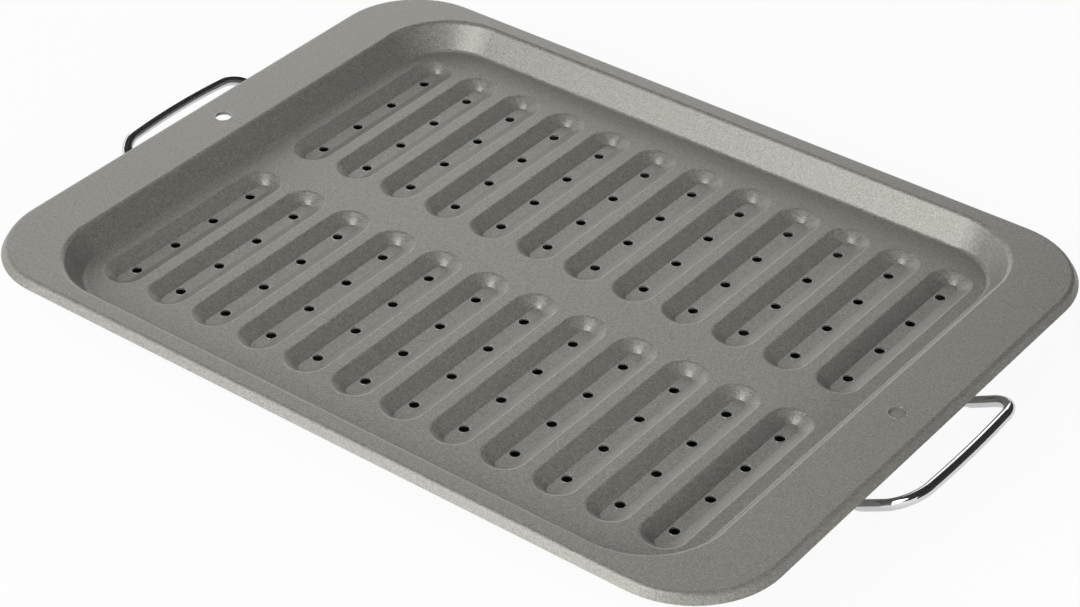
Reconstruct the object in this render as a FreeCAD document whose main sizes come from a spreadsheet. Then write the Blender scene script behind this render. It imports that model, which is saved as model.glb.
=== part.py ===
"""Broiler pan: a slotted broiling tray that nests in a drip pan with two wire handles.

Frame: +X towards the right-hand handle, +Y to the back, +Z up, in millimetres. The origin is the
middle of the underside of the drip pan, on the surface that the set stands on.
"""
import FreeCAD, Part
import math
import os

import Sketcher

# Driving dimensions, one row of the sheet each
SIZES = {
    # Both pans
    "gauge": 0.8,
    "set_height": 40.0,
    # Rim of the tray, to the sharp corner where the lip turns down
    "tray_rim_half_length": 205.1,
    "tray_rim_half_width": 153.0,
    "tray_rim_corner": 41.0,
    "tray_lip_drop": 4.0,
    "tray_lip_run": 2.6,
    "tray_lip_bend": 2.5,
    # Dish of the tray
    "end_rim": 29.0,
    "side_rim": 8.9,
    "tray_mouth_corner": 37.5,
    "tray_depth": 12.5,
    "tray_end_run": 8.0,
    "tray_side_run": 8.9,
    "tray_floor_corner": 28.8,
    "tray_rim_bend": 2.6,
    "tray_floor_bend": 2.2,
    # Pressed slots in the floor of the dish
    "slot_columns": 12,
    "slot_rows": 2,
    "slot_depth": 4.0,
    "slot_bottom_width": 6.4,
    "slot_end_run": 5.3,
    "slot_shoulder_drop": 1.9,
    "slot_shoulder_run": 3.1,
    "slot_bend": 2.2,
    # Level floor left round the slots: at the ends, at the sides, between rows and between columns
    "end_land": 7.44,
    "side_land": 15.6,
    "row_land": 18.8,
    "column_land": 6.52,
    # Drain holes along each slot
    "drain_diameter": 4.8,
    "drain_inset": 11.7,
    # Round holes in the end rims
    "rim_hole_diameter": 7.8,
    "rim_hole_inset": 14.7,
    # Drip pan, sized from the tray that nests in it
    "nest_gap": 1.0,
    "end_wall_gap": 1.0,
    "side_wall_gap": 0.9246,
    "drip_lip_drop": 2.2,
    "drip_lip_bend": 1.7,
    "drip_end_run": 24.0,
    "drip_side_run": 24.0,
    "drip_floor_corner": 21.0,
    "drip_rim_bend": 4.0,
    "drip_floor_bend": 7.0,
    # Wire handles
    "wire_diameter": 5.2,
    "handle_overhang": 17.9,
    "handle_drop": 7.95,
    "handle_tilt": 27.5,
    "handle_half_span": 43.9,
    "handle_corner": 14.6,
    "handle_bow": 430.0,
    "leg_level": 19.0,
    "leg_bend": 8.0,
    "foot_bend": 6.0,
    "foot_gap": 0.3,
    "handle_shift_right": 5.4,
    "handle_shift_left": 1.4,
    # Flattened wire ends
    "neck_length": 4.0,
    "lug_thickness": 2.2,
    "lug_width": 9.0,
    "lug_length": 9.4,
    # Rivets through the flattened ends
    "rivet_diameter": 4.0,
    "rivet_clearance": 0.1,
    "rivet_head_diameter": 8.0,
    "rivet_head_height": 1.8,
    "rivet_inner_height": 1.0,
}

# Dimensions that follow from the driving ones. In the ones of both pans PAN stands for tray or drip
PAN_WORKED = {
    "lip_length": "sqrt( PAN_lip_run ^ 2 + PAN_lip_drop ^ 2 )",
    "lip_skin": "gauge * ( PAN_lip_length - PAN_lip_run ) / PAN_lip_drop",
    "lip_wall": "gauge * PAN_lip_length / PAN_lip_drop",
    "end_skin": "gauge * ( sqrt( PAN_end_run ^ 2 + PAN_depth ^ 2 ) - PAN_end_run ) / PAN_depth",
    "side_skin": "gauge * ( sqrt( PAN_side_run ^ 2 + PAN_depth ^ 2 ) - PAN_side_run ) / PAN_depth",
    "under_rim_height": "PAN_top - gauge",
    "lip_height": "PAN_top - PAN_lip_drop",
    "floor_height": "PAN_top - PAN_depth",
    "underside_height": "PAN_floor_height - gauge",
    "lip_inner_bend": "PAN_lip_bend - gauge",
    "rim_under_bend": "PAN_rim_bend - gauge",
    "floor_under_bend": "PAN_floor_bend + gauge",
}
WORKED = {
    "tray_top": "set_height + 0",
    "tray_mouth_half_length": "tray_rim_half_length - end_rim",
    "tray_mouth_half_width": "tray_rim_half_width - side_rim",
    "drip_top": "set_height - gauge",
    "drip_depth": "drip_top - gauge",
    "drip_rim_half_length": "tray_rim_half_length - tray_lip_skin - nest_gap",
    "drip_rim_half_width": "tray_rim_half_width - tray_lip_skin - nest_gap",
    "drip_rim_corner": "tray_rim_corner - tray_lip_skin - nest_gap",
    "drip_lip_run": "drip_lip_drop * tray_lip_run / tray_lip_drop",
    "drip_mouth_half_length": "tray_mouth_half_length + tray_end_skin + end_wall_gap",
    "drip_mouth_half_width": "tray_mouth_half_width + tray_side_skin + side_wall_gap",
    "drip_mouth_corner": "tray_mouth_corner + tray_side_skin + side_wall_gap",
    # Slots: their spread over the floor, then their section through the sheet
    "column_pitch": "( ( tray_floor_outline_half_length - end_land ) * 2 + column_land ) / slot_columns",
    "row_pitch": "( ( tray_floor_outline_half_width - side_land ) * 2 + row_land ) / slot_rows",
    "slot_mouth_width": "column_pitch - column_land",
    "slot_mouth_length": "row_pitch - row_land",
    "slot_run": "( slot_mouth_width - slot_bottom_width ) / 2",
    "slot_wall": "sqrt( slot_run ^ 2 + slot_depth ^ 2 )",
    "slot_skin": "gauge * ( slot_wall - slot_run ) / slot_depth",
    # The ends of a slot fall in two steps: a shoulder, then a steeper heel
    "shoulder_wall": "sqrt( slot_shoulder_run ^ 2 + slot_shoulder_drop ^ 2 )",
    "heel_run": "slot_end_run - slot_shoulder_run",
    "heel_drop": "slot_depth - slot_shoulder_drop",
    "heel_wall": "sqrt( heel_run ^ 2 + heel_drop ^ 2 )",
    "shoulder_skin": "gauge * ( shoulder_wall - slot_shoulder_run ) / slot_shoulder_drop",
    "heel_skin": "gauge * ( heel_wall - heel_run ) / heel_drop",
    "waist_skin_drop": "gauge * ( heel_wall / heel_drop - shoulder_wall / slot_shoulder_drop ) "
                       "/ ( heel_run / heel_drop - slot_shoulder_run / slot_shoulder_drop )",
    "waist_end_skin": "( gauge * heel_wall - waist_skin_drop * heel_run ) / heel_drop",
    "waist_side_skin": "( gauge * slot_wall - waist_skin_drop * slot_run ) / slot_depth",
    "slot_under_bend": "slot_bend - gauge",
    "slot_bottom_height": "tray_floor_height - slot_depth",
    "slot_underside_height": "slot_bottom_height - gauge",
    "slot_waist_height": "tray_floor_height - slot_shoulder_drop",
    "slot_hip_height": "slot_waist_height - waist_skin_drop",
    "slot_mouth_half_width": "slot_mouth_width / 2",
    "slot_mouth_half_length": "slot_mouth_length / 2",
    "slot_bottom_half_width": "slot_bottom_width / 2",
    "slot_bottom_half_length": "slot_mouth_half_length - slot_end_run",
    "slot_waist_half_width": "slot_mouth_half_width - slot_run * slot_shoulder_drop / slot_depth",
    "slot_waist_half_length": "slot_mouth_half_length - slot_shoulder_run",
    "slot_belly_half_width": "slot_mouth_half_width + slot_skin",
    "slot_belly_half_length": "slot_mouth_half_length + shoulder_skin",
    "slot_hip_half_width": "slot_waist_half_width + waist_side_skin",
    "slot_hip_half_length": "slot_waist_half_length + waist_end_skin",
    "slot_keel_half_width": "slot_bottom_half_width + slot_skin",
    "slot_keel_half_length": "slot_bottom_half_length + heel_skin",
    "drain_far": "slot_bottom_half_length - drain_inset",
    "drain_near": "drain_far / 3",
    "first_column": "( 1 - slot_columns ) * column_pitch / 2",
    "first_row": "( 1 - slot_rows ) * row_pitch / 2",
    "rim_hole_reach": "tray_rim_half_length - rim_hole_inset",
    # Depths that a punch goes through a level sheet and a leaning one
    "punch_depth": "gauge * 4",
    "long_punch_depth": "gauge * 6",
    # Handles: the leg runs down to leg_level, in to the end wall and down along it
    "wall_lean": "atan( drip_end_run / drip_depth ) / ( 1 deg )",
    "wire_radius": "wire_diameter / 2",
    "handle_reach": "tray_rim_half_length + handle_overhang",
    "bar_height": "set_height - handle_drop",
    "corner_centre": "sqrt( ( handle_bow - handle_corner ) ^ 2 - ( handle_half_span - handle_corner ) ^ 2 ) "
                     "- handle_bow",
    "leg_length": "( bar_height - leg_level ) / sin( handle_tilt ) - leg_bend * tan( handle_tilt / 2 )",
    "leg_end_reach": "handle_reach - leg_length * cos( handle_tilt )",
    "leg_end_height": "bar_height - leg_length * sin( handle_tilt )",
    "leg_angle": "90 - handle_tilt",
    "foot_offset": "wire_radius + foot_gap",
    "foot_run": "foot_bend * tan( 45 - wall_lean / 2 )",
    "wall_reach": "drip_mouth_half_length - ( drip_top - leg_level ) * tan( wall_lean ) "
                  "+ gauge / cos( wall_lean )",
    "foot_reach": "wall_reach + foot_offset / cos( wall_lean ) - foot_run * sin( wall_lean )",
    "foot_height": "leg_level - foot_run * cos( wall_lean )",
    "neck_reach": "foot_reach - neck_length * sin( wall_lean )",
    "neck_height": "foot_height - neck_length * cos( wall_lean )",
    "lug_reach": "neck_reach - foot_offset * cos( wall_lean )",
    "lug_height": "neck_height + foot_offset * sin( wall_lean )",
    "lug_half_width": "lug_width / 2",
    "lug_straight": "lug_length - lug_half_width",
    "lug_outer": "lug_thickness - foot_offset",
    "lug_outer_depth": "foot_offset - lug_thickness",
    "lug_inner": "0 - foot_offset",
    "lug_angle": "90 + wall_lean",
    "rivet_reach": "lug_reach - lug_straight * sin( wall_lean )",
    "rivet_height": "lug_height - lug_straight * cos( wall_lean )",
    "rivet_radius": "rivet_diameter / 2",
    "rivet_head_radius": "rivet_head_diameter / 2",
    "rivet_hole_diameter": "rivet_diameter + rivet_clearance",
    "rivet_inner_face": "0 - gauge",
    "rivet_tail": "rivet_inner_face - rivet_inner_height",
    "rivet_tail_depth": "gauge + rivet_inner_height",
    "rivet_crown": "lug_thickness + rivet_head_height",
}

# Outlines of each pan: the height that each lies at, its half length, half width and corner radius
PAN_OUTLINES = {
    "rim": ("PAN_top", "PAN_rim_half_length", "PAN_rim_half_width", "PAN_rim_corner"),
    "lip": (
        "PAN_lip_height",
        "PAN_rim_half_length + PAN_lip_run",
        "PAN_rim_half_width + PAN_lip_run",
        "PAN_rim_corner + PAN_lip_run",
    ),
    "under_rim": (
        "PAN_under_rim_height",
        "PAN_rim_half_length - PAN_lip_skin",
        "PAN_rim_half_width - PAN_lip_skin",
        "PAN_rim_corner - PAN_lip_skin",
    ),
    "inside_lip": (
        "PAN_lip_height",
        "PAN_rim_half_length + PAN_lip_run - PAN_lip_wall",
        "PAN_rim_half_width + PAN_lip_run - PAN_lip_wall",
        "PAN_rim_corner + PAN_lip_run - PAN_lip_wall",
    ),
    "mouth": ("PAN_top", "PAN_mouth_half_length", "PAN_mouth_half_width", "PAN_mouth_corner"),
    "floor": (
        "PAN_floor_height",
        "PAN_mouth_half_length - PAN_end_run",
        "PAN_mouth_half_width - PAN_side_run",
        "PAN_floor_corner",
    ),
    "belly": (
        "PAN_under_rim_height",
        "PAN_mouth_half_length + PAN_end_skin",
        "PAN_mouth_half_width + PAN_side_skin",
        "PAN_mouth_corner + PAN_side_skin",
    ),
    "underside": (
        "PAN_underside_height",
        "PAN_mouth_half_length - PAN_end_run + PAN_end_skin",
        "PAN_mouth_half_width - PAN_side_run + PAN_side_skin",
        "PAN_floor_corner + PAN_side_skin",
    ),
}
OUTLINE_PARTS = ("height", "half_length", "half_width", "corner")
NEAR = 1e-3
COMMON_SPACING_FLAG = -1
START, END, CENTRE = range(1, 4)


def fill_sheets():
    """Put the driving sizes in one sheet and the worked-out ones in another."""
    worked = dict(WORKED)
    for pan in ("tray", "drip"):
        for name, formula in PAN_WORKED.items():
            worked[pan + "_" + name] = formula.replace("PAN", pan)
        for outline, formulas in PAN_OUTLINES.items():
            for part, formula in zip(OUTLINE_PARTS, formulas):
                worked["%s_%s_outline_%s" % (pan, outline, part)] = "0 + " + formula.replace("PAN", pan)
    for row, (name, number) in enumerate(SIZES.items(), start=1):
        sizes.set("A%d" % row, name)
        sizes.set("B%d" % row, str(number))
        sizes.setAlias("B%d" % row, name)
    doc.recompute()
    for row, name in enumerate(worked, start=1):
        lines.set("A%d" % row, name)
        lines.setAlias("B%d" % row, name)
    for row, formula in enumerate(worked.values(), start=1):
        words = ["Sizes." + word if word in SIZES else word for word in formula.split()]
        lines.set("B%d" % row, "=" + " ".join(words))
    doc.recompute()


def cell(name):
    """Name a cell for an expression."""
    return ("Sizes." if name in SIZES else "Lines.") + name


def value(name):
    """Read a size by its name."""
    return float((sizes if name in SIZES else lines).get(name))


def bind(item, prop, name, sign=""):
    """Tie a property to a size."""
    item.setExpression(prop, sign + cell(name))


def origin(body, role):
    """Find a plane or axis of a body's own origin."""
    for feature in body.Origin.OriginFeatures:
        if feature.Role == role:
            return feature
    raise ValueError(role)


def new_body(label):
    """Start a sub-part."""
    body = doc.addObject("PartDesign::Body", label)
    body.Label = label
    return body


def new_sketch(body, name, role="XY_Plane"):
    """Start a sketch on one of a body's origin planes."""
    sketch = body.newObject("Sketcher::SketchObject", name)
    sketch.AttachmentSupport = [(origin(body, role), "")]
    sketch.MapMode = "FlatFace"
    return sketch


def lean_sketch(sketch, reach, across, height, angle, side=1, base=1):
    """Stand a sketch off the XY plane and turn it about a line along Y, one way or the other."""
    turn = FreeCAD.Rotation(FreeCAD.Vector(0, side, 0), value(angle))
    sketch.AttachmentOffset = FreeCAD.Placement(FreeCAD.Vector(), turn)
    bind(sketch, "AttachmentOffset.Rotation.Angle", angle)
    bind(sketch, "AttachmentOffset.Base.x", reach, "" if base > 0 else "-")
    if across:
        bind(sketch, "AttachmentOffset.Base.y", across)
    bind(sketch, "AttachmentOffset.Base.z", height)


def line(sketch, start, end):
    """Add a line and return its number."""
    return sketch.addGeometry(Part.LineSegment(FreeCAD.Vector(*start, 0), FreeCAD.Vector(*end, 0)))


def arc(sketch, centre, radius, first, last):
    """Add an arc between two angles in degrees, anticlockwise, and return its number."""
    circle = Part.Circle(FreeCAD.Vector(*centre, 0), FreeCAD.Vector(0, 0, 1), radius)
    return sketch.addGeometry(Part.ArcOfCircle(circle, math.radians(first), math.radians(last)))


def join(sketch, first, first_end, second, second_end):
    """Join two curves smoothly."""
    sketch.addConstraint(Sketcher.Constraint("Tangent", first, first_end, second, second_end))


def fix(sketch, kind, geometry, name):
    """Give a dimension of a sketch the value of a size."""
    number = sketch.addConstraint(Sketcher.Constraint(kind, *geometry, value(name)))
    sketch.setExpression("Constraints[%d]" % number, cell(name))


def fix_along(sketch, kind, curve, end, name, sign=1):
    """Put the end of a curve a size away from the sketch's origin along one of its axes."""
    ends = (-1, 1, curve, end) if sign > 0 else (curve, end, -1, 1)
    fix(sketch, kind, ends, name)


def hole(sketch, diameter, across=(None, 1), along=(None, 1)):
    """Draw a circle; each place is a size and its sign, or none for a place on the axis."""
    centre = [0 if name is None else sign * value(name) for name, sign in (across, along)]
    circle = sketch.addGeometry(
        Part.Circle(FreeCAD.Vector(*centre, 0), FreeCAD.Vector(0, 0, 1), value(diameter) / 2)
    )
    fix(sketch, "Diameter", (circle,), diameter)
    for kind, axis, (name, sign) in (("DistanceX", -2, across), ("DistanceY", -1, along)):
        if name is None:
            sketch.addConstraint(Sketcher.Constraint("PointOnObject", circle, CENTRE, axis))
        else:
            fix_along(sketch, kind, circle, CENTRE, name, sign)


def rounded_rectangle(sketch, half_length, half_width, corner):
    """Draw a rectangle with round corners about the sketch's origin."""
    length, width, radius = value(half_length), value(half_width), value(corner)
    inner_length, inner_width = length - radius, width - radius
    right = line(sketch, (length, -inner_width), (length, inner_width))
    back_right = arc(sketch, (inner_length, inner_width), radius, 0, 90)
    back = line(sketch, (inner_length, width), (-inner_length, width))
    back_left = arc(sketch, (-inner_length, inner_width), radius, 90, 180)
    left = line(sketch, (-length, inner_width), (-length, -inner_width))
    front_left = arc(sketch, (-inner_length, -inner_width), radius, 180, 270)
    front = line(sketch, (-inner_length, -width), (inner_length, -width))
    front_right = arc(sketch, (inner_length, -inner_width), radius, 270, 360)
    loop = (right, back_right, back, back_left, left, front_left, front, front_right)
    for first, second in zip(loop, loop[1:] + loop[:1]):
        join(sketch, first, END, second, START)
    for side in (right, left):
        sketch.addConstraint(Sketcher.Constraint("Vertical", side))
    for side in (back, front):
        sketch.addConstraint(Sketcher.Constraint("Horizontal", side))
    for other in (back_left, front_left, front_right):
        sketch.addConstraint(Sketcher.Constraint("Equal", back_right, other))
    fix(sketch, "DistanceX", (-1, 1, right, START), half_length)
    fix(sketch, "DistanceX", (left, START, -1, 1), half_length)
    fix(sketch, "DistanceY", (-1, 1, back, START), half_width)
    fix(sketch, "DistanceY", (front, START, -1, 1), half_width)
    fix(sketch, "Radius", (back_right,), corner)


def stadium(sketch, half_width, half_length):
    """Draw a slot with half-round ends about the sketch's origin, long along Y."""
    width, straight = value(half_width), value(half_length) - value(half_width)
    right = line(sketch, (width, -straight), (width, straight))
    back = arc(sketch, (0, straight), width, 0, 180)
    left = line(sketch, (-width, straight), (-width, -straight))
    front = arc(sketch, (0, -straight), width, 180, 360)
    loop = (right, back, left, front)
    for first, second in zip(loop, loop[1:] + loop[:1]):
        join(sketch, first, END, second, START)
    for side in (right, left):
        sketch.addConstraint(Sketcher.Constraint("Vertical", side))
    sketch.addConstraint(Sketcher.Constraint("Symmetric", back, CENTRE, front, CENTRE, -1, 1))
    fix(sketch, "Radius", (back,), half_width)
    reach = Sketcher.Constraint("DistanceY", front, CENTRE, back, CENTRE, 2 * straight)
    number = sketch.addConstraint(reach)
    sketch.setExpression(
        "Constraints[%d]" % number, "2 * ( %s - %s )" % (cell(half_length), cell(half_width))
    )


def outline(body, pan, name):
    """Draw one outline of a pan at its height."""
    cells = {part: "%s_%s_outline_%s" % (pan, name, part) for part in OUTLINE_PARTS}
    sketch = new_sketch(body, name)
    bind(sketch, "AttachmentOffset.Base.z", cells["height"])
    rounded_rectangle(sketch, cells["half_length"], cells["half_width"], cells["corner"])
    return sketch


def loft(body, name, profile, *sections, kind="AdditiveLoft"):
    """Join outlines, as metal or as a hollow: two by straight walls, more by smooth ones."""
    feature = body.newObject("PartDesign::" + kind, name)
    feature.Profile = (profile, [""])
    feature.Sections = [(section, [""]) for section in sections]
    feature.Ruled = len(sections) == 1
    return feature


def pocket(body, name, sketch, depth):
    """Cut a sketch both ways through the sheet, and check that it cut."""
    doc.recompute()
    faces = len(body.Shape.Faces)
    feature = body.newObject("PartDesign::Pocket", name)
    feature.Profile = (sketch, [""])
    feature.Midplane = True
    bind(feature, "Length", depth)
    doc.recompute()
    if len(feature.Shape.Faces) <= faces:
        raise RuntimeError(name + " cuts nothing")
    return feature


def from_outline(point, half_length, half_width, corner):
    """Measure how far outside a rounded rectangle about the origin a point lies."""
    across = abs(point.x) - half_length + corner
    along = abs(point.y) - half_width + corner
    return math.hypot(max(across, 0), max(along, 0)) + min(max(across, along), 0) - corner


def outline_edges(shape, pan, name):
    """Name the edges of a shape that lie on one outline of a pan."""
    height, *sides = (value("%s_%s_outline_%s" % (pan, name, part)) for part in OUTLINE_PARTS)
    names = []
    for number, edge in enumerate(shape.Edges, start=1):
        first, last = edge.ParameterRange
        points = [edge.valueAt(first + share * (last - first)) for share in (0.25, 0.5, 0.75)]
        level = all(abs(point.z - height) < NEAR for point in points)
        if level and all(abs(from_outline(point, *sides)) < NEAR for point in points):
            names.append("Edge%d" % number)
    return names


def fillet(body, name, edges, radius):
    """Round edges of the body as it stands."""
    base = body.Tip
    feature = body.newObject("PartDesign::Fillet", name)
    feature.Base = (base, edges)
    bind(feature, "Radius", radius)
    doc.recompute()
    return feature


def press_pan(body, pan):
    """Press a flat sheet into a rim with a turned-down lip about a dish with sloping walls."""
    rim, lip = outline(body, pan, "rim"), outline(body, pan, "lip")
    loft(body, "rim_plate", rim, lip)
    under_rim, inside_lip = outline(body, pan, "under_rim"), outline(body, pan, "inside_lip")
    loft(body, "lip_hollow", under_rim, inside_lip, kind="SubtractiveLoft")
    belly, underside = outline(body, pan, "belly"), outline(body, pan, "underside")
    loft(body, "dish_outside", belly, underside)
    mouth, floor = outline(body, pan, "mouth"), outline(body, pan, "floor")
    loft(body, "dish_hollow", mouth, floor, kind="SubtractiveLoft")
    doc.recompute()
    bends = (
        ("rim", "lip_bend"),
        ("under_rim", "lip_inner_bend"),
        ("mouth", "rim_bend"),
        ("belly", "rim_under_bend"),
        ("floor", "floor_bend"),
        ("underside", "floor_under_bend"),
    )
    for name, radius in bends:
        fillet(body, name + "_bend", outline_edges(body.Shape, pan, name), pan + "_" + radius)


def slot_sketch(body, name, height):
    """Draw one level of the first slot."""
    sketch = new_sketch(body, "slot_" + name)
    bind(sketch, "AttachmentOffset.Base.x", "first_column")
    bind(sketch, "AttachmentOffset.Base.y", "first_row")
    bind(sketch, "AttachmentOffset.Base.z", height)
    stadium(sketch, "slot_%s_half_width" % name, "slot_%s_half_length" % name)
    return sketch


def slot_loft(body, name, levels, kind):
    """Join the levels of the first slot, each one given by its outline and its height."""
    outlines = [slot_sketch(body, outline, height) for outline, height in levels]
    return loft(body, name, *outlines, kind=kind)


def slot_edges(shape, level):
    """Name the edges round the slots that lie on one face of the sheet."""
    height = value(level)
    reach = value("tray_floor_outline_half_length") - value("end_land") / 2
    width = value("tray_floor_outline_half_width") - value("side_land") / 2
    names = []
    for number, edge in enumerate(shape.Edges, start=1):
        box = edge.BoundBox
        flat = abs(box.ZMin - height) < NEAR and abs(box.ZMax - height) < NEAR
        inside = max(-box.XMin, box.XMax) < reach and max(-box.YMin, box.YMax) < width
        if flat and inside:
            names.append("Edge%d" % number)
    return names


def slot_field(body):
    """Press the slots, punch their drain holes and repeat both over the floor."""
    levels = (
        ("belly", "tray_underside_height"),
        ("hip", "slot_hip_height"),
        ("keel", "slot_underside_height"),
    )
    outside = slot_loft(body, "slot_outside", levels, "AdditiveLoft")
    levels = (
        ("mouth", "tray_floor_height"),
        ("waist", "slot_waist_height"),
        ("bottom", "slot_bottom_height"),
    )
    hollow = slot_loft(body, "slot_hollow", levels, "SubtractiveLoft")
    drains = new_sketch(body, "drain_holes")
    bind(drains, "AttachmentOffset.Base.x", "first_column")
    bind(drains, "AttachmentOffset.Base.y", "first_row")
    bind(drains, "AttachmentOffset.Base.z", "slot_bottom_height")
    for name in ("drain_near", "drain_far"):
        for sign in (-1, 1):
            hole(drains, "drain_diameter", along=(name, sign))
    punched = pocket(body, "drains", drains, "punch_depth")
    field = body.newObject("PartDesign::LinearPattern", "slot_field")
    field.Originals = [outside, hollow, punched]
    field.Direction = (origin(body, "X_Axis"), [""])
    field.Mode = "Spacing"
    bind(field, "Offset", "column_pitch")
    bind(field, "Occurrences", "slot_columns")
    field.Direction2 = (origin(body, "Y_Axis"), [""])
    field.Mode2 = "Spacing"
    field.Spacings2 = [COMMON_SPACING_FLAG]
    bind(field, "Offset2", "row_pitch")
    bind(field, "Occurrences2", "slot_rows")
    body.Tip = field
    doc.recompute()
    bends = (("slot_bend", "tray_floor_height"), ("slot_under_bend", "tray_underside_height"))
    for bend, level in bends:
        fillet(body, bend + "s", slot_edges(body.Shape, level), bend)


def rim_holes(body, sides):
    """Punch the round holes in the end rims."""
    sketch = new_sketch(body, "rim_holes")
    bind(sketch, "AttachmentOffset.Base.z", "set_height")
    for side in sides:
        hole(sketch, "rim_hole_diameter", across=("rim_hole_reach", side))
    pocket(body, "rim_punch", sketch, "long_punch_depth")


def make_tray():
    """Make the slotted tray that the food lies on."""
    body = new_body("broil_tray")
    press_pan(body, "tray")
    rim_holes(body, (-1, 1))
    slot_field(body)
    return body


def make_drip_pan():
    """Make the pan that catches the dripping and carries the handles."""
    body = new_body("drip_pan")
    press_pan(body, "drip")
    rim_holes(body, (-1,))
    for name, side in (("right", 1), ("left", -1)):
        sketch = new_sketch(body, "rivet_holes_" + name)
        lean_sketch(sketch, "rivet_reach", "handle_shift_" + name, "rivet_height", "lug_angle", side, side)
        for sign in (-1, 1):
            hole(sketch, "rivet_hole_diameter", along=("handle_half_span", sign))
        pocket(body, "rivet_punch_" + name, sketch, "long_punch_depth")
    return body


def bail_sketch(body):
    """Draw the centre line of the grip, its corners and both legs in their leaning plane."""
    sketch = new_sketch(body, "bail")
    lean_sketch(sketch, "handle_reach", None, "bar_height", "handle_tilt", -1)
    leg, span = value("leg_length"), value("handle_half_span")
    corner, bow = value("handle_corner"), value("handle_bow")
    centre = value("corner_centre")
    turn = math.degrees(math.asin((span - corner) / (bow - corner)))
    back_leg = line(sketch, (-leg, span), (centre, span))
    back_corner = arc(sketch, (centre, span - corner), corner, turn, 90)
    grip = arc(sketch, (-bow, 0), bow, -turn, turn)
    front_corner = arc(sketch, (centre, corner - span), corner, -90, -turn)
    front_leg = line(sketch, (centre, -span), (-leg, -span))
    join(sketch, back_leg, END, back_corner, END)
    join(sketch, back_corner, START, grip, END)
    join(sketch, grip, START, front_corner, END)
    join(sketch, front_corner, START, front_leg, START)
    for side in (back_leg, front_leg):
        sketch.addConstraint(Sketcher.Constraint("Horizontal", side))
    for bend in (back_corner, front_corner):
        fix(sketch, "Radius", (bend,), "handle_corner")
    fix(sketch, "Radius", (grip,), "handle_bow")
    sketch.addConstraint(Sketcher.Constraint("PointOnObject", grip, CENTRE, -1))
    fix_along(sketch, "DistanceX", grip, CENTRE, "handle_bow", -1)
    fix_along(sketch, "DistanceY", back_leg, START, "handle_half_span")
    fix_along(sketch, "DistanceY", front_leg, END, "handle_half_span", -1)
    fix_along(sketch, "DistanceX", back_leg, START, "leg_length", -1)
    fix_along(sketch, "DistanceX", front_leg, END, "leg_length", -1)
    return sketch


def foot_sketch(body):
    """Draw the centre line from the leg inwards to the end wall and down along it."""
    sketch = new_sketch(body, "foot", "XZ_Plane")
    bind(sketch, "AttachmentOffset.Base.z", "handle_half_span", "-")
    level, tilt = value("leg_level"), value("handle_tilt")
    bend, turn = value("leg_bend"), value("foot_bend")
    bend_reach = value("leg_end_reach") - bend * math.sin(math.radians(tilt))
    turn_reach = value("foot_reach") + turn * math.cos(math.radians(value("wall_lean")))
    first = arc(sketch, (bend_reach, level + bend), bend, 270, 270 + tilt)
    run = line(sketch, (bend_reach, level), (turn_reach, level))
    last = arc(sketch, (turn_reach, level - turn), turn, 90, 180 - value("wall_lean"))
    join(sketch, first, START, run, START)
    join(sketch, run, END, last, START)
    sketch.addConstraint(Sketcher.Constraint("Horizontal", run))
    fix(sketch, "Radius", (first,), "leg_bend")
    fix(sketch, "Radius", (last,), "foot_bend")
    fix_along(sketch, "DistanceY", run, START, "leg_level")
    fix_along(sketch, "DistanceX", first, END, "leg_end_reach")
    fix_along(sketch, "DistanceX", last, END, "foot_reach")
    return sketch


def wire_section(body, name, reach, height, angle):
    """Draw the round section of the wire across its line at one of its ends."""
    sketch = new_sketch(body, name)
    lean_sketch(sketch, reach, "handle_half_span", height, angle)
    hole(sketch, "wire_diameter")
    return sketch


def neck_sketch(body):
    """Draw the flat section that the round wire runs out into."""
    sketch = new_sketch(body, "neck_end")
    lean_sketch(sketch, "neck_reach", "handle_half_span", "neck_height", "wall_lean")
    inner, outer, half = value("lug_inner"), value("lug_outer"), value("lug_half_width")
    corners = ((outer, -half), (outer, half), (inner, half), (inner, -half))
    sides = [line(sketch, *ends) for ends in zip(corners, corners[1:] + corners[:1])]
    for first, second in zip(sides, sides[1:] + sides[:1]):
        sketch.addConstraint(Sketcher.Constraint("Coincident", first, END, second, START))
    for number, kind in zip(sides, ("Vertical", "Horizontal", "Vertical", "Horizontal")):
        sketch.addConstraint(Sketcher.Constraint(kind, number))
    fix_along(sketch, "DistanceX", sides[0], START, "lug_outer_depth", -1)
    fix_along(sketch, "DistanceX", sides[2], START, "foot_offset", -1)
    fix_along(sketch, "DistanceY", sides[0], END, "lug_half_width")
    fix_along(sketch, "DistanceY", sides[0], START, "lug_half_width", -1)
    return sketch


def lug_sketch(body):
    """Draw the flattened end that lies on the wall, with its rivet hole."""
    sketch = new_sketch(body, "lug")
    lean_sketch(sketch, "lug_reach", "handle_half_span", "lug_height", "lug_angle")
    straight, half = value("lug_straight"), value("lug_half_width")
    front = line(sketch, (0, -half), (straight, -half))
    tip = arc(sketch, (straight, 0), half, -90, 90)
    back = line(sketch, (straight, half), (0, half))
    root = line(sketch, (0, half), (0, -half))
    join(sketch, front, END, tip, START)
    join(sketch, tip, END, back, START)
    sketch.addConstraint(Sketcher.Constraint("Coincident", back, END, root, START))
    sketch.addConstraint(Sketcher.Constraint("Coincident", root, END, front, START))
    for side in (front, back):
        sketch.addConstraint(Sketcher.Constraint("Horizontal", side))
    sketch.addConstraint(Sketcher.Constraint("PointOnObject", root, START, -2))
    sketch.addConstraint(Sketcher.Constraint("PointOnObject", tip, CENTRE, -1))
    sketch.addConstraint(Sketcher.Constraint("Vertical", root))
    fix(sketch, "Radius", (tip,), "lug_half_width")
    fix_along(sketch, "DistanceX", tip, CENTRE, "lug_straight")
    hole(sketch, "rivet_hole_diameter", across=("lug_straight", 1))
    return sketch


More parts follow.
